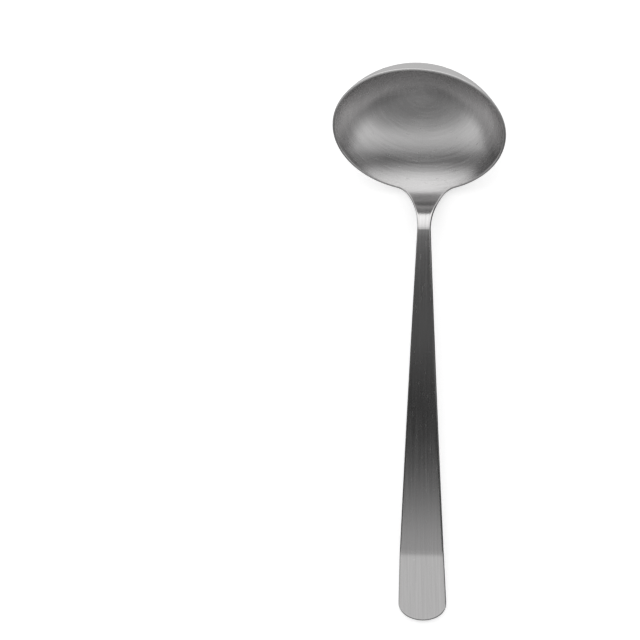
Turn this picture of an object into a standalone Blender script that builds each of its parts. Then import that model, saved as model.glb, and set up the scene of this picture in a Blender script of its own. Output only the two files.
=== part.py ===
"""Soup ladle in stainless steel: a drawn bowl with its shank stub, a forged handle and their weld.

All three pieces are one formed strip. Each is drawn flat, as a blank, and then pressed to shape:
    across   distance from the middle line, along the sheet's surface
    along    distance from the handle's tip, along the middle line of the upper surface
The side line says how the middle line rises and falls, and the cup says how the sheet curls
sideways, until in the bowl both follow one sphere.
"""
import math

import bpy
import bmesh
from mathutils import Vector

MM = 0.001

# Bowl: a round cap of a sphere, tilted up toward its far rim
BOWL_RIM_RADIUS = 44.5 * MM
BOWL_DEPTH = 28.8 * MM
BOWL_WALL = 1.4 * MM
BOWL_TILT = math.radians(49.0)

# Handle: a flat tip facet, a long shallow arch and a neck that bends down to the bowl
TIP_LENGTH = 33.3 * MM
TIP_SLOPE = math.radians(10.5)
TIP_BEND_RADIUS = 33.0 * MM
ARCH_LENGTH = 165.0 * MM
ARCH_SLOPE_START = math.radians(4.0)
ARCH_SLOPE_END = math.radians(-1.8)
NECK_BEND_RADIUS = 24.0 * MM
ROOT_SLOPE = math.radians(-38.0)
ROOT_RADIUS = 20.0 * MM

# Widths over the rounded edges, and thicknesses
TIP_WIDTH = 25.35 * MM
BEND_WIDTH = 22.95 * MM
NECK_WIDTH = 6.8 * MM
TIP_END_LENGTH = 8.4 * MM
TIP_THICKNESS = 2.8 * MM
NECK_THICKNESS = 3.4 * MM
EDGE_ROUNDING = 0.5 * MM

# Shank: leaves the rim this far to each side of the middle, and narrows to the neck
FLARE_AZIMUTH = math.radians(20.0)
FLARE_RIM_REACH = 8.4 * MM
FLARE_NECK_REACH = 9.0 * MM

# Weld: a short bead at the narrowest place, clear of both its neighbours
WELD_PLACE = 203.5 * MM
WELD_LENGTH = 1.0 * MM
GAP = 0.3 * MM

# How finely the shapes are cut
ROW_SPACING = 5.0 * MM
BOWL_AZIMUTH_STEP = math.radians(5.0)
BOWL_RINGS = 12
HANDLE_COLUMNS = 10
FLARE_ROWS = 7
EDGE_ANGLES = [math.radians(angle) for angle in (-50, 0, 50)]

# Worked out from the sizes above
OUTER_RADIUS = (BOWL_RIM_RADIUS**2 + BOWL_DEPTH**2) / (2 * BOWL_DEPTH)
INNER_RADIUS = OUTER_RADIUS - BOWL_WALL
RIM_ANGLE = math.asin(BOWL_RIM_RADIUS / OUTER_RADIUS)
SHEET_RIM_ANGLE = RIM_ANGLE - EDGE_ROUNDING / INNER_RADIUS
RIM_SLOPE = BOWL_TILT - RIM_ANGLE
HANDLE_END = WELD_PLACE - WELD_LENGTH / 2 - GAP
SHANK_START = WELD_PLACE + WELD_LENGTH / 2 + GAP


class SideLine:
    """The middle line of the upper surface in side view, made of straights and arcs."""

    def __init__(self, start_height):
        self.runs = []
        self.end = (0.0, 0.0, start_height)

    def add(self, length, slope_start, slope_end):
        bend = (slope_end - slope_start) / length
        self.runs.append((*self.end, slope_start, bend))
        along = self.end[0] + length
        self.end = (along, *self.at(along)[:2])

    def add_arc(self, radius, slope_start, slope_end):
        self.add(radius * abs(slope_end - slope_start), slope_start, slope_end)

    def at(self, along):
        """Return y, z and the slope at a distance along the line."""
        run = self.runs[0]
        for candidate in self.runs:
            if along >= candidate[0]:
                run = candidate
        start, y, z, slope_start, bend = run
        slope = slope_start + bend * (along - start)
        if bend:
            y += (math.sin(slope) - math.sin(slope_start)) / bend
            z -= (math.cos(slope) - math.cos(slope_start)) / bend
        else:
            y += math.cos(slope) * (along - start)
            z += math.sin(slope) * (along - start)
        return y, z, slope


def make_side_line():
    """Lay out the side view so that the tip and the bowl both stand on the table."""
    line = SideLine(TIP_THICKNESS * math.cos(TIP_SLOPE))
    line.add(TIP_LENGTH, TIP_SLOPE, TIP_SLOPE)
    line.add_arc(TIP_BEND_RADIUS, TIP_SLOPE, ARCH_SLOPE_START)
    line.add(ARCH_LENGTH, ARCH_SLOPE_START, ARCH_SLOPE_END)
    line.add_arc(NECK_BEND_RADIUS, ARCH_SLOPE_END, ROOT_SLOPE)
    rim_height = OUTER_RADIUS - INNER_RADIUS * math.cos(RIM_SLOPE)
    root_fall = ROOT_RADIUS * (math.cos(RIM_SLOPE) - math.cos(ROOT_SLOPE))
    straight_fall = line.end[2] - root_fall - rim_height
    line.add(straight_fall / math.sin(-ROOT_SLOPE), ROOT_SLOPE, ROOT_SLOPE)
    line.add_arc(ROOT_RADIUS, ROOT_SLOPE, RIM_SLOPE)
    line.rim_along = line.end[0]
    line.add_arc(INNER_RADIUS, RIM_SLOPE, RIM_SLOPE + 2 * RIM_ANGLE)
    return line


LINE = make_side_line()


def blend(start, end, share):
    return start + (end - start) * min(1.0, max(0.0, share))


def ease(share):
    share = min(1.0, max(0.0, share))
    return share * share * (3 - 2 * share)


def cup_at(along):
    """Return the sideways curvature: none along the handle, the sphere's own in the bowl."""
    return ease((along - WELD_PLACE) / (LINE.rim_along - WELD_PLACE)) / INNER_RADIUS


def thickness_at(along):
    if along < WELD_PLACE:
        return blend(TIP_THICKNESS, NECK_THICKNESS, along / WELD_PLACE)
    return blend(NECK_THICKNESS, BOWL_WALL, ease((along - WELD_PLACE) / (LINE.rim_along - WELD_PLACE)))


def half_width_at(along):
    """Return half the blank's width: slow taper on the tip facet, faster on the arch."""
    if along < TIP_LENGTH:
        return blend(TIP_WIDTH, BEND_WIDTH, along / TIP_LENGTH) / 2 - EDGE_ROUNDING
    share = (along - TIP_LENGTH) / (WELD_PLACE - TIP_LENGTH)
    return blend(BEND_WIDTH, NECK_WIDTH, share) / 2 - EDGE_ROUNDING


def press(across, along):
    """Return the upper surface's point and normal for a point of the flat blank."""
    y, z, slope = LINE.at(along)
    cup = cup_at(along)
    turn = cup * across
    sideways = math.sin(turn) / cup if cup else across
    rise = (1 - math.cos(turn)) / cup if cup else 0.0
    up = Vector((0.0, -math.sin(slope), math.cos(slope)))
    point = Vector((sideways, y, z)) + rise * up
    normal = Vector((-math.sin(turn), 0.0, 0.0)) + math.cos(turn) * up
    return point, normal


def rim_blank(azimuth, ring_angle=SHEET_RIM_ANGLE):
    """Return the blank's place of a point on a ring of the bowl, with azimuth 0 at the shank."""
    across = INNER_RADIUS * math.asin(math.sin(ring_angle) * math.sin(azimuth))
    toward_shank = math.atan2(math.sin(ring_angle) * math.cos(azimuth), math.cos(ring_angle))
    along = LINE.rim_along + INNER_RADIUS * (RIM_ANGLE - toward_shank)
    return across, along


def spaced(start, end, spacing=ROW_SPACING):
    """Return evenly spaced values from start to end, both included."""
    count = max(1, math.ceil((end - start) / spacing))
    return [blend(start, end, step / count) for step in range(count + 1)]


class Piece:
    """A closed solid built from a patch of blank points, with rounded free edges."""

    def __init__(self, name):
        self.name = name
        self.mesh = bmesh.new()
        self.top = []
        self.bottom = []
        self.normals = []
        self.edge_rows = {}

    def add_point(self, across, along):
        point, normal = press(across, along)
        self.top.append(self.mesh.verts.new(point))
        self.bottom.append(self.mesh.verts.new(point - normal * thickness_at(along)))
        self.normals.append(normal)
        return len(self.top) - 1

    def add_cell(self, corners):
        """Add one cell of the sheet: its upper face and its under face."""
        distinct = list(dict.fromkeys(corners))
        self.mesh.faces.new([self.top[corner] for corner in distinct])
        self.mesh.faces.new([self.bottom[corner] for corner in reversed(distinct)])

    def add_rows(self, rows):
        for row, next_row in zip(rows, rows[1:]):
            for column in range(len(row) - 1):
                self.add_cell([row[column], row[column + 1], next_row[column + 1], next_row[column]])

    def outward(self, chain, place):
        """Return the direction out of the sheet's edge, within the sheet."""
        normal = self.normals[chain[place]]
        if place in (0, len(chain) - 1):
            side = math.copysign(1.0, self.top[chain[place]].co.x)
            return Vector((side, 0.0, 0.0))
        before = self.top[chain[place - 1]].co
        after = self.top[chain[place + 1]].co
        return (after - before).normalized().cross(normal).normalized()

    def round_edge(self, chain):
        """Close the free edge along a chain of points that runs with the sheet on its left."""
        for place, index in enumerate(chain):
            top = self.top[index].co
            bottom = self.bottom[index].co
            outward = self.outward(chain, place)
            row = [self.top[index]]
            for angle in reversed(EDGE_ANGLES):
                height = (1 + math.sin(angle)) / 2
                bulge = outward * EDGE_ROUNDING * math.cos(angle)
                row.append(self.mesh.verts.new(bottom.lerp(top, height) + bulge))
            row.append(self.bottom[index])
            self.edge_rows[index] = row
        for index, next_index in zip(chain, chain[1:]):
            row = self.edge_rows[index]
            next_row = self.edge_rows[next_index]
            for step in range(len(row) - 1):
                self.mesh.faces.new([row[step], next_row[step], next_row[step + 1], row[step + 1]])

    def close_end(self, row):
        """Close a cut end across the strip, with the rounded edges at both its sides."""
        for left, right in zip(row, row[1:]):
            self.mesh.faces.new([self.top[left], self.top[right], self.bottom[right], self.bottom[left]])
        self.mesh.faces.new(self.edge_rows[row[0]])
        self.mesh.faces.new(self.edge_rows[row[-1]])

    def finish(self, material):
        bmesh.ops.recalc_face_normals(self.mesh, faces=self.mesh.faces)
        data = bpy.data.meshes.new(self.name)
        self.mesh.to_mesh(data)
        self.mesh.free()
        data.materials.append(material)
        data.shade_smooth()
        data.set_sharp_from_angle(angle=math.radians(40))
        piece = bpy.data.objects.new(self.name, data)
        bpy.context.collection.objects.link(piece)
        return piece


def steel(name, shade, roughness):
    material = bpy.data.materials.new(name)
    material.use_nodes = True
    shader = material.node_tree.nodes["Principled BSDF"]
    shader.inputs["Base Color"].default_value = (shade, shade, shade, 1.0)
    shader.inputs["Metallic"].default_value = 1.0
    shader.inputs["Roughness"].default_value = roughness
    return material


def make_handle():
    """The strip from the tip to the neck: its end is half an ellipse."""
    piece = Piece("handle")
    bend_end = LINE.runs[2][0]
    straight_rows = spaced(0.0, TIP_LENGTH) + spaced(TIP_LENGTH, bend_end, 1.2 * MM)[1:]
    straight_rows += spaced(bend_end, HANDLE_END, 2 * ROW_SPACING)[1:]
    rows = []
    for row_along in straight_rows:
        row = []
        for column in range(HANDLE_COLUMNS + 1):
            share = math.sin(math.pi * (column / HANDLE_COLUMNS - 0.5))
            end_curve = TIP_END_LENGTH * (1 - math.sqrt(max(0.0, 1 - share**2)))
            along = row_along + end_curve * max(0.0, 1 - row_along / TIP_LENGTH)
            row.append(piece.add_point(share * half_width_at(along), along))
        rows.append(row)
    piece.add_rows(rows)
    left_side = [row[0] for row in rows]
    right_side = [row[-1] for row in rows]
    piece.round_edge(left_side[::-1] + rows[0][1:-1] + right_side)
    piece.close_end(rows[-1])
    return piece.finish(steel("brushed_handle", 0.62, 0.34))


def make_weld():
    """The weld bead: a short slice of the strip, ground flush all round."""
    piece = Piece("weld")
    rows = []
    for along in (WELD_PLACE - WELD_LENGTH / 2, WELD_PLACE + WELD_LENGTH / 2):
        row = []
        for share in (-1.0, -0.5, 0.0, 0.5, 1.0):
            row.append(piece.add_point(share * half_width_at(WELD_PLACE), along))
        rows.append(row)
    piece.add_rows(rows)
    piece.round_edge([rows[1][0], rows[0][0]])
    piece.round_edge([rows[0][-1], rows[1][-1]])
    piece.close_end(rows[0])
    piece.close_end(rows[1])
    return piece.finish(steel("ground_weld", 0.55, 0.42))


def flare_edge(share):
    """Return the shank's edge in the blank, from the rim (0) to the neck (1), as one curve."""
    rim = Vector(rim_blank(FLARE_AZIMUTH))
    step = Vector(rim_blank(FLARE_AZIMUTH - BOWL_AZIMUTH_STEP / 100))
    neck = Vector((half_width_at(WELD_PLACE), SHANK_START))
    rim_handle = rim + (step - rim).normalized() * FLARE_RIM_REACH
    neck_handle = neck + Vector((0.0, FLARE_NECK_REACH))
    rest = 1 - share
    return (rest**3 * rim + 3 * rest**2 * share * rim_handle
            + 3 * rest * share**2 * neck_handle + share**3 * neck)


def make_flare_rows(piece, rim_row):
    """Narrow the sheet from the rim's arc to the straight cut across the neck."""
    middle = len(rim_row) // 2
    rim_edge = Vector(rim_blank(FLARE_AZIMUTH))
    rim_middle = Vector(rim_blank(0.0))
    rows = [rim_row]
    for level in range(1, FLARE_ROWS + 1):
        edge = flare_edge(level / FLARE_ROWS)
        middle_along = blend(rim_middle.y, SHANK_START, level / FLARE_ROWS)
        row = []
        for column in range(len(rim_row)):
            across, along = rim_blank((column - middle) * BOWL_AZIMUTH_STEP)
            share = across / rim_edge.x
            bow = (along - rim_middle.y) / (rim_edge.y - rim_middle.y)
            row.append(piece.add_point(share * edge.x, blend(middle_along, edge.y, bow)))
        rows.append(row)
    piece.add_rows(rows)
    return rows


def make_bowl():
    """The bowl's rings, then the shank that grows from the near part of its rim."""
    piece = Piece("bowl")
    count = round(math.tau / BOWL_AZIMUTH_STEP)
    centre = piece.add_point(*rim_blank(0.0, 0.0))
    rings = [[centre] * count]
    for ring in range(1, BOWL_RINGS + 1):
        angle = SHEET_RIM_ANGLE * ring / BOWL_RINGS
        places = [rim_blank(step * BOWL_AZIMUTH_STEP, angle) for step in range(count)]
        rings.append([piece.add_point(*place) for place in places])
    piece.add_rows([ring + ring[:1] for ring in rings])
    reach = round(FLARE_AZIMUTH / BOWL_AZIMUTH_STEP)
    rim = rings[-1]
    flare = make_flare_rows(piece, [rim[step] for step in range(-reach, reach + 1)])
    right_edge = [row[-1] for row in flare[:0:-1]]
    left_edge = [row[0] for row in flare[1:]]
    piece.round_edge(right_edge + rim[reach:count - reach + 1] + left_edge)
    piece.close_end(flare[-1])
    return piece.finish(steel("drawn_bowl", 0.64, 0.28))


def stand_on_origin(pieces):
    """Move the pieces so that the origin is under the middle of the ladle, on the table."""
    corners = [vertex.co for piece in pieces for vertex in piece.data.vertices]
    lowest = min(corner.z for corner in corners)
    middle = (min(corner.y for corner in corners) + max(corner.y for corner in corners)) / 2
    for piece in pieces:
        piece.location = (0.0, -middle, -lowest)


def main():
    for item in list(bpy.data.objects):
        bpy.data.objects.remove(item, do_unlink=True)
    stand_on_origin([make_bowl(), make_weld(), make_handle()])


main()
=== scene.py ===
"""Soup ladle in brushed stainless steel: the finely modelled pieces, their finish, light and camera.

Each piece is a formed strip, drawn flat as a blank and then pressed to shape:
    across   distance from the middle line, along the sheet's surface
    along    distance from the handle's tip, along the middle line of the upper surface
"""
import math

import bmesh
import bpy
import numpy as np
from mathutils import Matrix, Vector


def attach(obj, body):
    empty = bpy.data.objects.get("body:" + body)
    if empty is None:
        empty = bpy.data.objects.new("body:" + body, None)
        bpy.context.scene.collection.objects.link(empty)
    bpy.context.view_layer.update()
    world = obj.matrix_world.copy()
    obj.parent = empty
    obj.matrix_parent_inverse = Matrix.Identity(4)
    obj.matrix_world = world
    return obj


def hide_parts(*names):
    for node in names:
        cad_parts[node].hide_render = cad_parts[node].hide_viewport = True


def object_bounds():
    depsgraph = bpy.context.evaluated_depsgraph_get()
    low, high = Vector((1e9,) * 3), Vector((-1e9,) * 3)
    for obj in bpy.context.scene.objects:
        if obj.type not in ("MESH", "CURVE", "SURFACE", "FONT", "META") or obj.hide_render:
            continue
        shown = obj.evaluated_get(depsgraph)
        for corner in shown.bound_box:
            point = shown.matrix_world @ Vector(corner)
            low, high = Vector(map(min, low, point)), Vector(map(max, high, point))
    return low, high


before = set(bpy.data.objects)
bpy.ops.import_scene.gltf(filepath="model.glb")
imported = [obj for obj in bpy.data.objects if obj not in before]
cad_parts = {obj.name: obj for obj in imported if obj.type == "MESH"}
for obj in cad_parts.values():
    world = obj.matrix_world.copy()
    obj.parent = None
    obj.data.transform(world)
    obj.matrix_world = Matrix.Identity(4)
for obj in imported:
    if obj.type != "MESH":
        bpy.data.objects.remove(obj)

MM = 0.001
cad_low, cad_high = [Vector(corner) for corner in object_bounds()]

# ---------------------------------------------------------------- driving dimensions

# Bowl: a round cap of a sphere, tilted up toward its far rim
BOWL_RIM_RADIUS = 44.5 * MM
BOWL_DEPTH = 28.8 * MM
BOWL_WALL = 1.4 * MM
BOWL_TILT = math.radians(49.0)

# Handle: a flat tip facet, a long shallow arch and a neck that bends down to the bowl
TIP_LENGTH = 33.3 * MM
TIP_SLOPE = math.radians(10.5)
TIP_BEND_RADIUS = 33.0 * MM
ARCH_LENGTH = 165.0 * MM
ARCH_SLOPE_START = math.radians(4.0)
ARCH_SLOPE_END = math.radians(-1.8)
NECK_BEND_RADIUS = 24.0 * MM
ROOT_SLOPE = math.radians(-38.0)
ROOT_RADIUS = 20.0 * MM

# Widths over the rounded edges, and thicknesses
TIP_WIDTH = 25.35 * MM
BEND_WIDTH = 22.95 * MM
NECK_WIDTH = 6.8 * MM
TIP_END_LENGTH = 8.4 * MM
TIP_THICKNESS = 2.8 * MM
NECK_THICKNESS = 3.4 * MM
HANDLE_EDGE_RADIUS = 0.8 * MM
RIM_EDGE_RADIUS = 0.55 * MM

# Shank: leaves the rim this far to each side of the middle, and narrows to the neck
FLARE_AZIMUTH = math.radians(20.0)
FLARE_RIM_REACH = 8.4 * MM
FLARE_NECK_REACH = 9.0 * MM

# Weld: ground flush, with a hairline seam at each side
WELD_PLACE = 203.5 * MM
WELD_LENGTH = 1.0 * MM
SEAM = 0.02 * MM

# How finely the sheet is cut
FINE_ROW = 0.5 * MM
LONG_ROW = 2.0 * MM
HANDLE_COLUMNS = 28
WELD_COLUMNS = 8
AZIMUTH_STEP = math.radians(1.25)
BOWL_RINGS = 56
FLARE_ROWS = 44
EDGE_STEPS = 5
SHARP_ANGLE = math.radians(50.0)

# Below these a bend counts as straight, a cup as flat, and a length as nothing
STRAIGHT_BEND = 1e-9
FLAT_CUP = 1e-6
TINY = 1e-9

# Where the lengthwise brushing of the shank turns into the round brushing of the bowl
BRUSH_BLEND_START = 2.0 * MM
BRUSH_BLEND_LENGTH = 14.0 * MM

OUTER_RADIUS = (BOWL_RIM_RADIUS**2 + BOWL_DEPTH**2) / (2 * BOWL_DEPTH)
INNER_RADIUS = OUTER_RADIUS - BOWL_WALL
RIM_ANGLE = math.asin(BOWL_RIM_RADIUS / OUTER_RADIUS)
SHEET_RIM_ANGLE = RIM_ANGLE - RIM_EDGE_RADIUS / INNER_RADIUS
RIM_SLOPE = BOWL_TILT - RIM_ANGLE
# The rounded end stands out from the handle's first row, and stays inside the CAD's box
TIP_START = 0.75 * HANDLE_EDGE_RADIUS
HANDLE_END = WELD_PLACE - WELD_LENGTH / 2 - SEAM
SHANK_START = WELD_PLACE + WELD_LENGTH / 2 + SEAM

# ---------------------------------------------------------------- the sheet's shape


class SideLine:
    """The middle line of the upper surface in side view, made of straights and arcs."""

    def __init__(self, start_height):
        self.runs = []
        self.end = (0.0, 0.0, start_height)

    def add(self, length, slope_start, slope_end):
        bend = (slope_end - slope_start) / length
        self.runs.append((*self.end, slope_start, bend))
        along = self.end[0] + length
        y, z, _ = self.at(np.array(along))
        self.end = (along, float(y), float(z))

    def add_arc(self, radius, slope_start, slope_end):
        self.add(radius * abs(slope_end - slope_start), slope_start, slope_end)

    def at(self, along):
        """Return arrays of y, z and the slope at distances along the line."""
        starts = np.array([run[0] for run in self.runs])
        index = np.clip(np.searchsorted(starts, along, side="right") - 1, 0, len(starts) - 1)
        start, y, z, slope_start, bend = np.moveaxis(np.array(self.runs)[index], -1, 0)
        past = along - start
        slope = slope_start + bend * past
        straight = np.abs(bend) < STRAIGHT_BEND
        divisor = np.where(straight, 1.0, bend)
        run = np.where(straight, np.cos(slope) * past, (np.sin(slope) - np.sin(slope_start)) / divisor)
        climb = np.where(straight, np.sin(slope) * past, (np.cos(slope_start) - np.cos(slope)) / divisor)
        return y + run, z + climb, slope


def make_side_line():
    """Lay out the side view so that the tip and the bowl both stand on the table."""
    line = SideLine(TIP_THICKNESS * math.cos(TIP_SLOPE))
    line.add(TIP_LENGTH, TIP_SLOPE, TIP_SLOPE)
    line.add_arc(TIP_BEND_RADIUS, TIP_SLOPE, ARCH_SLOPE_START)
    line.arch_along = line.end[0]
    line.add(ARCH_LENGTH, ARCH_SLOPE_START, ARCH_SLOPE_END)
    line.add_arc(NECK_BEND_RADIUS, ARCH_SLOPE_END, ROOT_SLOPE)
    rim_height = OUTER_RADIUS - INNER_RADIUS * math.cos(RIM_SLOPE)
    root_fall = ROOT_RADIUS * (math.cos(RIM_SLOPE) - math.cos(ROOT_SLOPE))
    straight_fall = line.end[2] - root_fall - rim_height
    line.add(straight_fall / math.sin(-ROOT_SLOPE), ROOT_SLOPE, ROOT_SLOPE)
    line.add_arc(ROOT_RADIUS, ROOT_SLOPE, RIM_SLOPE)
    line.rim_along = line.end[0]
    line.add_arc(INNER_RADIUS, RIM_SLOPE, RIM_SLOPE + 2 * RIM_ANGLE)
    return line


LINE = make_side_line()


def ease(share):
    share = np.clip(share, 0.0, 1.0)
    return share * share * (3 - 2 * share)


def shank_share(along):
    """Return 0 at the weld and before it, and 1 at the rim and beyond."""
    return np.clip((along - WELD_PLACE) / (LINE.rim_along - WELD_PLACE), 0.0, 1.0)


def cup_at(along):
    """Return the sideways curvature: none along the handle, the sphere's own in the bowl."""
    return ease(shank_share(along)) / INNER_RADIUS


def thickness_at(along):
    handle = TIP_THICKNESS + (NECK_THICKNESS - TIP_THICKNESS) * along / WELD_PLACE
    shank = NECK_THICKNESS + (BOWL_WALL - NECK_THICKNESS) * ease(shank_share(along))
    return np.where(along < WELD_PLACE, handle, shank)


def edge_radius_at(along):
    return HANDLE_EDGE_RADIUS + (RIM_EDGE_RADIUS - HANDLE_EDGE_RADIUS) * ease(shank_share(along))


def half_width_at(along):
    """Return half the blank's width: slow taper on the tip facet, faster on the arch."""
    facet_share = np.clip(along / TIP_LENGTH, 0.0, 1.0)
    arch_share = np.clip((along - TIP_LENGTH) / (WELD_PLACE - TIP_LENGTH), 0.0, 1.0)
    width = TIP_WIDTH + (BEND_WIDTH - TIP_WIDTH) * facet_share + (NECK_WIDTH - BEND_WIDTH) * arch_share
    return width / 2 - HANDLE_EDGE_RADIUS


def press(across, along):
    """Return the upper surface's points and normals for points of the blank."""
    y, z, slope = LINE.at(along)
    cup = cup_at(along)
    turn = cup * across
    flat = cup < FLAT_CUP
    divisor = np.where(flat, 1.0, cup)
    sideways = np.where(flat, across, np.sin(turn) / divisor)
    rise = np.where(flat, 0.0, (1 - np.cos(turn)) / divisor)
    sine, cosine = np.sin(slope), np.cos(slope)
    points = np.stack([sideways, y - rise * sine, z + rise * cosine], -1)
    normals = np.stack([-np.sin(turn), -np.cos(turn) * sine, np.cos(turn) * cosine], -1)
    return points, normals


def rim_blank(azimuth, ring_angle):
    """Return the blank's place of points on a ring of the bowl, with azimuth 0 at the shank."""
    across = INNER_RADIUS * np.arcsin(np.sin(ring_angle) * np.sin(azimuth))
    toward_shank = np.arctan2(np.sin(ring_angle) * np.cos(azimuth), np.cos(ring_angle))
    return across, LINE.rim_along + INNER_RADIUS * (RIM_ANGLE - toward_shank)


def bowl_axis():
    """Return the sphere's centre and the direction out of the bowl's mouth."""
    y, z, slope = LINE.at(np.array(LINE.rim_along))
    centre = Vector((0.0, y - INNER_RADIUS * np.sin(slope), z + INNER_RADIUS * np.cos(slope)))
    return centre, Vector((0.0, -math.sin(BOWL_TILT), math.cos(BOWL_TILT)))


# ---------------------------------------------------------------- from sheet to closed mesh


class Sheet:
    """A patch of the blank, thickened into a closed mesh with rounded free edges."""

    def __init__(self):
        self.across = np.empty(0)
        self.along = np.empty(0)
        self.cells = []

    def add_points(self, across, along):
        across, along = np.broadcast_arrays(across, along)
        first = len(self.across)
        self.across = np.append(self.across, across)
        self.along = np.append(self.along, along)
        return np.arange(first, len(self.across)).reshape(across.shape)

    def add_grid(self, index):
        corners = (index[:-1, :-1], index[:-1, 1:], index[1:, 1:], index[1:, :-1])
        self.cells += np.stack(corners, -1).reshape(-1, 4).tolist()

    def add_fan(self, centre, ring):
        self.cells += [[centre, here, there] for here, there in zip(ring, np.roll(ring, -1))]

    def thicken(self, chains, ends):
        """Return the points, faces and brush coordinates of the closed mesh."""
        top, normal = press(self.across, self.along)
        bottom = top - normal * thickness_at(self.along)[:, None]
        count = len(top)
        faces = list(self.cells) + [[corner + count for corner in reversed(cell)] for cell in self.cells]
        points = [top, bottom]
        lanes = [np.stack([self.across, self.along], -1)] * 2
        edges = [np.zeros(count)] * 2
        columns = {}
        total = 2 * count
        for chain in chains:
            rows, row_lanes, row_edges = self.round_edge(chain, top, bottom, normal)
            steps = rows.shape[1]
            index = total + np.arange(len(chain) * steps).reshape(len(chain), steps)
            total += index.size
            points.append(rows.reshape(-1, 3))
            lanes.append(row_lanes.reshape(-1, 2))
            edges.append(row_edges.reshape(-1))
            index = np.concatenate([chain[:, None], index, chain[:, None] + count], 1)
            grid = np.stack((index[:-1, :-1], index[1:, :-1], index[1:, 1:], index[:-1, 1:]), -1)
            faces += grid.reshape(-1, 4).tolist()
            for place in (0, -1):
                columns[int(chain[place])] = index[place].tolist()
        for end in ends:
            for left, right in zip(end, end[1:]):
                faces.append([left, right, right + count, left + count])
            faces.append(columns[int(end[0])])
            faces.append(columns[int(end[-1])])
        points = np.concatenate(points)
        return points, faces, np.concatenate(lanes), np.concatenate(edges)

    def round_edge(self, chain, top, bottom, normal):
        """Sweep a rounded edge along a chain of points that runs with the sheet on its left."""
        upper, lower, out_of_sheet = top[chain], bottom[chain], normal[chain]
        tangent = np.gradient(upper, axis=0)
        outward = np.cross(tangent, out_of_sheet)
        for place in (0, -1):
            outward[place] = (math.copysign(1.0, upper[place][0]), 0.0, 0.0)
        outward /= np.linalg.norm(outward, axis=1)[:, None]
        radius = edge_radius_at(self.along[chain])[:, None]
        rows, row_lanes = [], []
        angles = np.linspace(math.pi / 2, 0.0, EDGE_STEPS + 1)[1:]
        side = np.sign(self.across[chain])[:, None]
        for base, sign, sweep in ((upper, -1, angles), (lower, 1, angles[::-1])):
            for angle in sweep:
                inward = sign * out_of_sheet * radius * (1 - math.sin(angle))
                rows.append(base + inward + outward * radius * math.cos(angle))
                reach = side * radius * (math.pi / 2 - angle) * -sign
                flat = np.stack([self.across[chain], self.along[chain]], -1)
                row_lanes.append(flat + reach * np.array([1.0, 0.0]))
        rows = np.stack(rows, 1)
        return rows, np.stack(row_lanes, 1), np.ones(rows.shape[:2])


def shift_to_frame():
    """Return the move from the tip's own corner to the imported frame: the far ends coincide."""
    centre, _ = bowl_axis()
    return Vector((0.0, cad_high.y - centre.y - OUTER_RADIUS, 0.0))


def brush_coordinates(points, along):
    """Return, for each point, the share of lengthwise brushing, its place round the bowl, and the grain."""
    centre, axis = bowl_axis()
    centre, axis = np.array(centre), np.array(axis)
    shank = ease((LINE.rim_along + BRUSH_BLEND_START - along) / BRUSH_BLEND_LENGTH)
    spoke = points - centre
    depth = -spoke @ axis
    toward_shank = np.cross(axis, [1.0, 0.0, 0.0])
    beside, ahead = spoke[:, 0], spoke @ toward_shank
    radius = np.maximum(np.hypot(beside, ahead), TINY)
    ring = np.arctan2(radius, depth) * INNER_RADIUS
    spin = np.stack([ring, ahead / radius, beside / radius], -1)
    slope = LINE.at(along)[2]
    lengthwise = np.stack([np.zeros(len(points)), np.cos(slope), np.sin(slope)], -1)
    around = np.cross(axis, spoke)
    around /= np.maximum(np.linalg.norm(around, axis=1), TINY)[:, None]
    grain = shank[:, None] * lengthwise + (1 - shank[:, None]) * around
    grain /= np.maximum(np.linalg.norm(grain, axis=1), TINY)[:, None]
    return shank, spin, grain


def store(mesh, name, kind, values):
    attribute = mesh.attributes.new(name, kind, "POINT")
    field = "value" if kind == "FLOAT" else "vector"
    attribute.data.foreach_set(field, np.ascontiguousarray(values, dtype=np.float32).ravel())


def make_piece(name, sheet, chains, ends, material):
    """Turn a sheet into a smooth-shaded object that rides on the ladle and replaces its CAD node."""
    points, faces, lanes, edges = sheet.thicken([np.array(chain) for chain in chains], ends)
    shank, spin, grain = brush_coordinates(points, lanes[:, 1])
    mesh = bpy.data.meshes.new(name)
    mesh.from_pydata(points + np.array(shift_to_frame()), [], faces)
    store(mesh, "lane", "FLOAT_VECTOR", np.column_stack([lanes, np.zeros(len(lanes))]))
    store(mesh, "spin", "FLOAT_VECTOR", spin)
    store(mesh, "grain", "FLOAT_VECTOR", grain)
    store(mesh, "shank", "FLOAT", shank)
    store(mesh, "edge", "FLOAT", edges)
    work = bmesh.new()
    work.from_mesh(mesh)
    bmesh.ops.recalc_face_normals(work, faces=work.faces)
    work.to_mesh(mesh)
    work.free()
    mesh.shade_smooth()
    mesh.set_sharp_from_angle(angle=SHARP_ANGLE)
    mesh.materials.append(material)
    piece = bpy.data.objects.new(name, mesh)
    bpy.context.collection.objects.link(piece)
    return piece


# ---------------------------------------------------------------- the three pieces


def spaced(start, end, spacing):
    return np.linspace(start, end, max(1, math.ceil((end - start) / spacing)) + 1)


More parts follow.
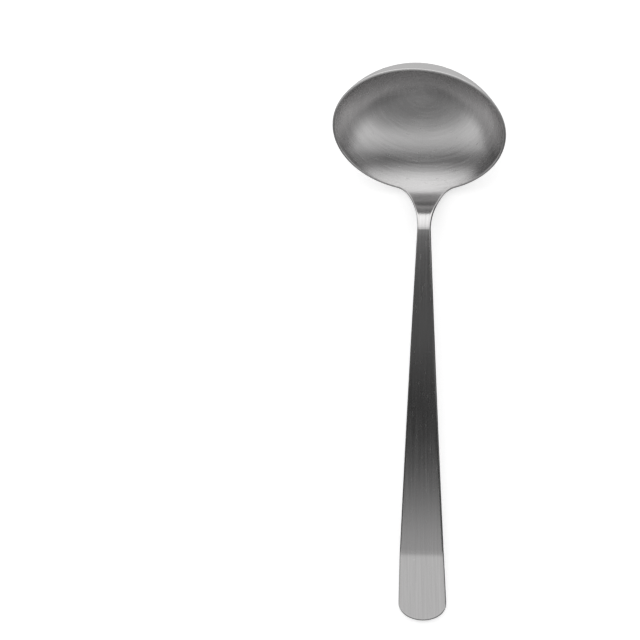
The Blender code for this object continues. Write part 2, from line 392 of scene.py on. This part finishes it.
def make_handle(material):
    """The strip from its half-elliptical end to the neck, with a crease at the tip facet."""
    bend_end = LINE.arch_along
    rows = np.concatenate([
        spaced(TIP_START, TIP_LENGTH - MM, LONG_ROW / 2),
        spaced(TIP_LENGTH - MM, bend_end + MM, FINE_ROW)[1:],
        spaced(bend_end + MM, HANDLE_END, LONG_ROW)[1:],
    ])
    share = np.sin(np.linspace(-math.pi / 2, math.pi / 2, HANDLE_COLUMNS + 1))
    end_curve = TIP_END_LENGTH * (1 - np.sqrt(np.clip(1 - share**2, 0.0, 1.0)))
    fade = np.clip(1 - rows / TIP_LENGTH, 0.0, 1.0)
    along = rows[:, None] + end_curve[None, :] * fade[:, None]
    sheet = Sheet()
    index = sheet.add_points(share[None, :] * half_width_at(along), along)
    sheet.add_grid(index)
    chain = np.concatenate([index[::-1, 0], index[0, 1:-1], index[:, -1]])
    return make_piece("handle_strip", sheet, [chain], [index[-1]], material)


def make_weld(material):
    """The weld bead between the strip and the bowl's shank, ground flush."""
    along = np.array([WELD_PLACE - WELD_LENGTH / 2, WELD_PLACE, WELD_PLACE + WELD_LENGTH / 2])
    share = np.linspace(-1.0, 1.0, WELD_COLUMNS + 1)
    sheet = Sheet()
    index = sheet.add_points(share[None, :] * half_width_at(WELD_PLACE), along[:, None])
    sheet.add_grid(index)
    chains = [index[::-1, 0], index[:, -1]]
    return make_piece("neck_weld", sheet, chains, [index[0], index[-1]], material)


def flare_edge(share):
    """Return the shank's edge in the blank, from the rim (0) to the neck (1), as one curve."""
    rim = np.array(rim_blank(FLARE_AZIMUTH, SHEET_RIM_ANGLE))
    step = np.array(rim_blank(FLARE_AZIMUTH - AZIMUTH_STEP / 100, SHEET_RIM_ANGLE))
    rim_handle = rim + (step - rim) / np.linalg.norm(step - rim) * FLARE_RIM_REACH
    neck = np.array([float(half_width_at(WELD_PLACE)), SHANK_START])
    neck_handle = neck + np.array([0.0, FLARE_NECK_REACH])
    share = share[:, None]
    rest = 1 - share
    return (rest**3 * rim + 3 * rest**2 * share * rim_handle
            + 3 * rest * share**2 * neck_handle + share**3 * neck)


def make_bowl(material):
    """The bowl's rings, then the shank that grows from the near part of its rim."""
    sheet = Sheet()
    count = round(math.tau / AZIMUTH_STEP)
    azimuths = np.arange(count) * AZIMUTH_STEP
    angles = SHEET_RIM_ANGLE * np.arange(1, BOWL_RINGS + 1) / BOWL_RINGS
    rings = sheet.add_points(*rim_blank(azimuths[None, :], angles[:, None]))
    centre = int(sheet.add_points(*rim_blank(np.zeros(1), np.zeros(1)))[0])
    sheet.add_fan(centre, rings[0])
    sheet.add_grid(np.concatenate([rings, rings[:, :1]], 1))

    reach = round(FLARE_AZIMUTH / AZIMUTH_STEP)
    rim_row = np.concatenate([rings[-1, -reach:], rings[-1, :reach + 1]])
    across, along = sheet.across[rim_row], sheet.along[rim_row]
    share = across / across[-1]
    bow = (along - along[reach]) / (along[-1] - along[reach])
    levels = np.arange(1, FLARE_ROWS + 1) / FLARE_ROWS
    edge = flare_edge(levels)
    middle = along[reach] + (SHANK_START - along[reach]) * levels
    row_along = middle[:, None] + (edge[:, 1] - middle)[:, None] * bow[None, :]
    flare = sheet.add_points(share[None, :] * edge[:, :1], row_along)
    sheet.add_grid(np.concatenate([rim_row[None, :], flare]))

    rim = rings[-1, reach:count - reach + 1]
    chain = np.concatenate([flare[::-1, -1], rim, flare[:, 0]])
    return make_piece("drawn_bowl", sheet, [chain], [flare[-1]], material)


# ---------------------------------------------------------------- the finish

# Brushed metal spreads light across its grain, a quarter turn from the grain's own direction
QUARTER_TURN = 0.25

# Noise patterns: how far each is stretched along the grain, its scale and its detail
NOISE_ROUGHNESS = 0.6
LONG_LINES = (0.012, 5200.0, 3.0)
LONG_BANDS = (0.02, 900.0, 2.0)
LONG_MARKS = (0.07, 2600.0, 0.0)
ROUND_LINES = (0.0009, 5200.0, 3.0)
ROUND_BANDS = (0.002, 700.0, 2.0)
ROUND_MARKS = (0.004, 2600.0, 0.0)
SMUDGES = (1.0, 45.0, 3.0)
SPECK_SCALE = 260.0

# The part of a pattern's range over which a mark fades in
SCRATCH_FADE = (0.76, 0.82)
SPECK_FADE = (0.03, 0.11)
SPECK_CHOICE = (0.975, 0.98)

# How much each pattern changes the metal's tone
LINE_TONE = 0.18
BAND_TONE = 0.36
# The specks' brightening is a painted glint, not a change in the steel itself
SPECK_GLINT_TONE = 0.25
WARMTH = 1.012

# How much each pattern changes the roughness
LINE_ROUGH = 0.08
BAND_ROUGH = 0.07
SMUDGE_ROUGH = 0.04
EDGE_ROUGH = -0.06
SCRATCH_ROUGH = 0.10

# How deep each pattern is cut, as a share of the streak depth
BAND_HEIGHT = 0.5
SCRATCH_HEIGHT = -0.8
SPECK_HEIGHT = -1.6

# Shade, roughness, anisotropy and streak depth of each steel
STEELS = {
    "handle_steel": (0.62, 0.22, 0.85, 0.0006 * MM),
    "bowl_steel": (0.63, 0.23, 0.7, 0.0008 * MM),
    "weld_steel": (0.62, 0.23, 0.8, 0.0006 * MM),
}


class Nodes:
    """A short way to write a material's or a world's node tree."""

    def __init__(self, tree):
        self.tree = tree
        tree.nodes.clear()

    def add(self, kind, settings=None, inputs=None):
        node = self.tree.nodes.new(kind)
        for name, value in (settings or {}).items():
            setattr(node, name, value)
        for name, value in (inputs or {}).items():
            if isinstance(value, bpy.types.NodeSocket):
                self.tree.links.new(value, node.inputs[name])
            else:
                node.inputs[name].default_value = value
        return node

    def attribute(self, name, output="Vector"):
        return self.add("ShaderNodeAttribute", {"attribute_name": name}).outputs[output]

    def stretched_noise(self, vector, stretch, scale, detail):
        mapped = self.add("ShaderNodeMapping", inputs={"Vector": vector, "Scale": stretch})
        noise = self.add("ShaderNodeTexNoise", inputs={
            "Vector": mapped.outputs[0], "Scale": scale, "Detail": detail,
            "Roughness": NOISE_ROUGHNESS})
        return noise.outputs["Fac"]

    def lengthwise(self, lane, pattern):
        """Noise stretched along the handle, in (across, along) coordinates."""
        stretch, scale, detail = pattern
        return self.stretched_noise(lane, (1.0, stretch, 1.0), scale, detail)

    def round_and_round(self, spin, pattern):
        """Noise stretched round the bowl, in (ring, cosine, sine) coordinates."""
        stretch, scale, detail = pattern
        return self.stretched_noise(spin, (1.0, stretch, stretch), scale, detail)

    def even(self, position, pattern):
        """Noise that is the same in every direction."""
        stretch, scale, detail = pattern
        return self.stretched_noise(position, (stretch, stretch, stretch), scale, detail)

    def math(self, operation, first, second, third=0.0):
        node = self.tree.nodes.new("ShaderNodeMath")
        node.operation = operation
        for place, value in enumerate((first, second, third)):
            if isinstance(value, bpy.types.NodeSocket):
                self.tree.links.new(value, node.inputs[place])
            else:
                node.inputs[place].default_value = value
        return node.outputs[0]

    def span(self, value, low, high, to_low=0.0, to_high=1.0):
        node = self.add("ShaderNodeMapRange", inputs={
            "Value": value, "From Min": low, "From Max": high, "To Min": to_low, "To Max": to_high})
        return node.outputs["Result"]

    def mix(self, share, first, second):
        """Mix two single values."""
        rest = self.math("SUBTRACT", 1.0, share)
        return self.math("ADD", self.math("MULTIPLY", first, rest), self.math("MULTIPLY", second, share))

    def gain(self, pattern, depth):
        """Return a factor that swings by depth, with its middle at one."""
        return self.math("MULTIPLY_ADD", pattern, depth, 1.0 - depth / 2)

    def add_swing(self, value, pattern, depth):
        """Add a pattern to a value, swinging by depth about it."""
        return self.math("MULTIPLY_ADD", self.math("SUBTRACT", pattern, 0.5), depth, value)


def brushed_steel(name):
    """Stainless steel with brush lines along the grain, fine scratches, specks cut in as nicks and painted
    brighter as glints, and burnished edges.
    """
    shade, roughness, anisotropy, streak_depth = STEELS[name]
    material = bpy.data.materials.new(name)
    material.use_nodes = True
    nodes = Nodes(material.node_tree)
    lane = nodes.attribute("lane")
    spin = nodes.attribute("spin")
    shank = nodes.attribute("shank", "Fac")
    edge = nodes.attribute("edge", "Fac")

    # Brush lines: hundreds across the handle, each several centimetres long
    long_lines = nodes.lengthwise(lane, LONG_LINES)
    long_bands = nodes.lengthwise(lane, LONG_BANDS)
    round_lines = nodes.round_and_round(spin, ROUND_LINES)
    round_bands = nodes.round_and_round(spin, ROUND_BANDS)
    lines = nodes.mix(shank, round_lines, long_lines)
    bands = nodes.mix(shank, round_bands, long_bands)

    # Handling marks: short scratches along the grain, tiny specks cut in as nicks and painted brighter as a
    # glint, and soft smudges
    place = nodes.add("ShaderNodeTexCoord").outputs["Object"]
    long_marks = nodes.lengthwise(lane, LONG_MARKS)
    round_marks = nodes.round_and_round(spin, ROUND_MARKS)
    scratches = nodes.span(nodes.mix(shank, round_marks, long_marks), *SCRATCH_FADE)
    cells = nodes.add("ShaderNodeTexVoronoi", inputs={"Vector": place, "Scale": SPECK_SCALE})
    near_centre = nodes.span(cells.outputs["Distance"], *SPECK_FADE, 1.0, 0.0)
    chosen = nodes.add("ShaderNodeSeparateColor", inputs={"Color": cells.outputs["Color"]})
    nicks_and_glints = nodes.math("MULTIPLY", near_centre, nodes.span(chosen.outputs[0], *SPECK_CHOICE))
    smudges = nodes.even(place, SMUDGES)

    tone = nodes.math("MULTIPLY", nodes.gain(lines, LINE_TONE), nodes.gain(bands, BAND_TONE))
    # Painted glint: the specks raise the steel's colour, as if light caught each nick
    tone = nodes.math("MULTIPLY_ADD", nicks_and_glints, SPECK_GLINT_TONE, tone)
    tone = nodes.math("MULTIPLY", tone, shade)
    colour = nodes.add("ShaderNodeCombineColor", inputs={
        "Red": nodes.math("MULTIPLY", tone, WARMTH), "Green": tone, "Blue": tone})

    rough = nodes.add_swing(roughness, lines, LINE_ROUGH)
    rough = nodes.add_swing(rough, bands, BAND_ROUGH)
    rough = nodes.add_swing(rough, smudges, SMUDGE_ROUGH)
    rough = nodes.math("MULTIPLY_ADD", edge, EDGE_ROUGH, rough)
    rough = nodes.math("MULTIPLY_ADD", scratches, SCRATCH_ROUGH, rough)

    height = nodes.math("MULTIPLY_ADD", lines, 1.0, nodes.math("MULTIPLY", bands, BAND_HEIGHT))
    height = nodes.math("MULTIPLY_ADD", scratches, SCRATCH_HEIGHT, height)
    height = nodes.math("MULTIPLY_ADD", nicks_and_glints, SPECK_HEIGHT, height)
    bump = nodes.add("ShaderNodeBump", inputs={
        "Height": height, "Strength": 1.0, "Distance": streak_depth})

    shader = nodes.add("ShaderNodeBsdfPrincipled", inputs={
        "Base Color": colour.outputs[0], "Metallic": 1.0, "Roughness": rough,
        "Anisotropic": anisotropy, "Anisotropic Rotation": QUARTER_TURN, "Normal": bump.outputs[0],
        "Tangent": nodes.attribute("grain")})
    nodes.add("ShaderNodeOutputMaterial", inputs={"Surface": shader.outputs[0]})
    return material


# ---------------------------------------------------------------- floor, light and camera

FLOOR_SIZE = 12.0
FLOOR_CELLS = 8
FLOOR_TONE = 0.93
FLOOR_CLOUDS = (1.0, 3.0, 4.0)
CLOUD_TONE = 0.02
FLOOR_ROUGHNESS = 0.7
FLOOR_SPECULAR = 0.2
FLOOR_GLOW = 0.5
BACKDROP = 0.95

VIEW_DISTANCE = 1.75
VIEW_TILT = math.radians(6.934)
VIEW_ROLL = math.radians(0.545)
VIEW_TARGET = Vector((-0.05321, 0.01265, 0.015))
LADLE_MIDDLE = Vector((0.0, -0.00185, 0.015))
FRAME_WIDTH = 0.32961
SENSOR_WIDTH = 36.0
CLIP_END = 100.0

# Brightness of the light tent by the angle toward the tip; negative angles are toward the bowl
TENT_STEPS = (
    (-90.0, 0.70), (-60.0, 1.25), (-40.0, 1.36), (-25.0, 1.24), (-15.0, 1.00), (-8.0, 0.41),
    (-4.0, 0.006), (0.0, 0.137), (3.0, 0.006), (5.5, 0.006), (8.0, 0.105), (11.0, 0.57),
    (15.0, 0.43), (22.0, 0.70), (32.0, 0.76), (45.0, 0.36), (65.0, 0.22), (90.0, 0.30),
)

# The tent is dimmer below the horizon, and fades to that between these heights of the direction
TENT_LOWER_SHARE = 0.55
TENT_HORIZON = (-0.25, 0.05)

# A little light comes from both sides, fading in between these sideways parts of the direction
TENT_SIDE_GLOW = 0.15
TENT_SIDES = (0.7, 1.0)


def make_floor():
    """A plain pale floor that glows faintly, stays out of reflections and isn't one flat tone."""
    mesh = bpy.data.meshes.new("floor")
    work = bmesh.new()
    bmesh.ops.create_grid(work, x_segments=FLOOR_CELLS, y_segments=FLOOR_CELLS, size=FLOOR_SIZE / 2)
    work.to_mesh(mesh)
    work.free()
    material = bpy.data.materials.new("pale_floor")
    material.use_nodes = True
    nodes = Nodes(material.node_tree)
    place = nodes.add("ShaderNodeTexCoord").outputs["Object"]
    cloud = nodes.even(place, FLOOR_CLOUDS)
    tone = nodes.math("MULTIPLY_ADD", cloud, CLOUD_TONE, FLOOR_TONE)
    colour = nodes.add("ShaderNodeCombineColor", inputs={"Red": tone, "Green": tone, "Blue": tone})
    shader = nodes.add("ShaderNodeBsdfPrincipled", inputs={
        "Base Color": colour.outputs[0], "Roughness": FLOOR_ROUGHNESS,
        "Specular IOR Level": FLOOR_SPECULAR,
        "Emission Color": (1.0, 1.0, 1.0, 1.0), "Emission Strength": FLOOR_GLOW})
    nodes.add("ShaderNodeOutputMaterial", inputs={"Surface": shader.outputs[0]})
    mesh.materials.append(material)
    floor = bpy.data.objects.new("floor", mesh)
    bpy.context.collection.objects.link(floor)
    floor.visible_glossy = False


def make_light_tent():
    """A soft tent of light: bright toward the bowl, dark overhead and paler toward the tip.

    The camera itself sees a plain pale backdrop in place of the tent.
    """
    world = bpy.data.worlds.new("light_tent")
    bpy.context.scene.world = world
    world.use_nodes = True
    nodes = Nodes(world.node_tree)
    direction = nodes.add("ShaderNodeTexCoord").outputs["Generated"]
    parts = nodes.add("ShaderNodeSeparateXYZ", inputs={"Vector": direction})
    toward_tip = nodes.math("ARCSINE", nodes.math("MULTIPLY", parts.outputs["Y"], -1.0), 0.0)
    share = nodes.span(toward_tip, -math.pi / 2, math.pi / 2)
    ramp = nodes.add("ShaderNodeValToRGB", inputs={"Fac": share})
    ramp.color_ramp.interpolation = "EASE"
    stops = ramp.color_ramp.elements
    brightest = max(level for _, level in TENT_STEPS)
    lowest, highest = TENT_STEPS[0][0], TENT_STEPS[-1][0]
    for degrees, _ in TENT_STEPS[1:-1]:
        stops.new((degrees - lowest) / (highest - lowest))
    for stop, (_, level) in zip(stops, TENT_STEPS):
        stop.color = (level / brightest, level / brightest, level / brightest, 1.0)
    sideways = nodes.math("ABSOLUTE", parts.outputs["X"], 0.0)
    glow = nodes.span(sideways, *TENT_SIDES, 0.0, TENT_SIDE_GLOW / brightest)
    lit = nodes.add("ShaderNodeVectorMath", {"operation": "ADD"}, {0: ramp.outputs[0], 1: glow})
    lower = TENT_LOWER_SHARE * brightest
    strength = nodes.span(parts.outputs["Z"], *TENT_HORIZON, lower, brightest)
    tent = nodes.add("ShaderNodeBackground", inputs={"Color": lit.outputs[0], "Strength": strength})
    backdrop = nodes.add("ShaderNodeBackground", inputs={"Color": (BACKDROP, BACKDROP, BACKDROP, 1.0)})
    seen = nodes.add("ShaderNodeLightPath").outputs["Is Camera Ray"]
    both = nodes.add("ShaderNodeMixShader", inputs={0: seen, 1: tent.outputs[0], 2: backdrop.outputs[0]})
    nodes.add("ShaderNodeOutputWorld", inputs={"Surface": both.outputs[0]})


def make_camera():
    """A long lens overhead, leaning to the right, with the bowl at the top of the picture."""
    backward = Vector((math.sin(VIEW_TILT), 0.0, math.cos(VIEW_TILT)))
    place = LADLE_MIDDLE + backward * VIEW_DISTANCE
    look = (place - VIEW_TARGET).normalized()
    right = Vector((0.0, 1.0, 0.0)).cross(look).normalized()
    up = look.cross(right)
    turned_right = right * math.cos(VIEW_ROLL) + up * math.sin(VIEW_ROLL)
    turned_up = up * math.cos(VIEW_ROLL) - right * math.sin(VIEW_ROLL)
    data = bpy.data.cameras.new("camera")
    data.sensor_width = SENSOR_WIDTH
    data.lens = SENSOR_WIDTH * VIEW_DISTANCE / FRAME_WIDTH
    data.clip_end = CLIP_END
    camera = bpy.data.objects.new("camera", data)
    axes = Matrix((turned_right, turned_up, look)).transposed()
    camera.matrix_world = Matrix.Translation(place) @ axes.to_4x4()
    bpy.context.collection.objects.link(camera)
    bpy.context.scene.camera = camera


def main():
    bpy.context.scene.view_settings.view_transform = "Standard"
    handle_steel = brushed_steel("handle_steel")
    bowl_steel = brushed_steel("bowl_steel")
    weld_steel = brushed_steel("weld_steel")
    pieces = (
        (make_bowl(bowl_steel), "bowl", "bowl_steel"),
        (make_weld(weld_steel), "weld", "weld_steel"),
        (make_handle(handle_steel), "handle", "handle_steel"),
    )
    for piece, node, slot in pieces:
        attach(piece, "root")
        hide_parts(node)
    make_floor()
    make_light_tent()
    make_camera()


main()
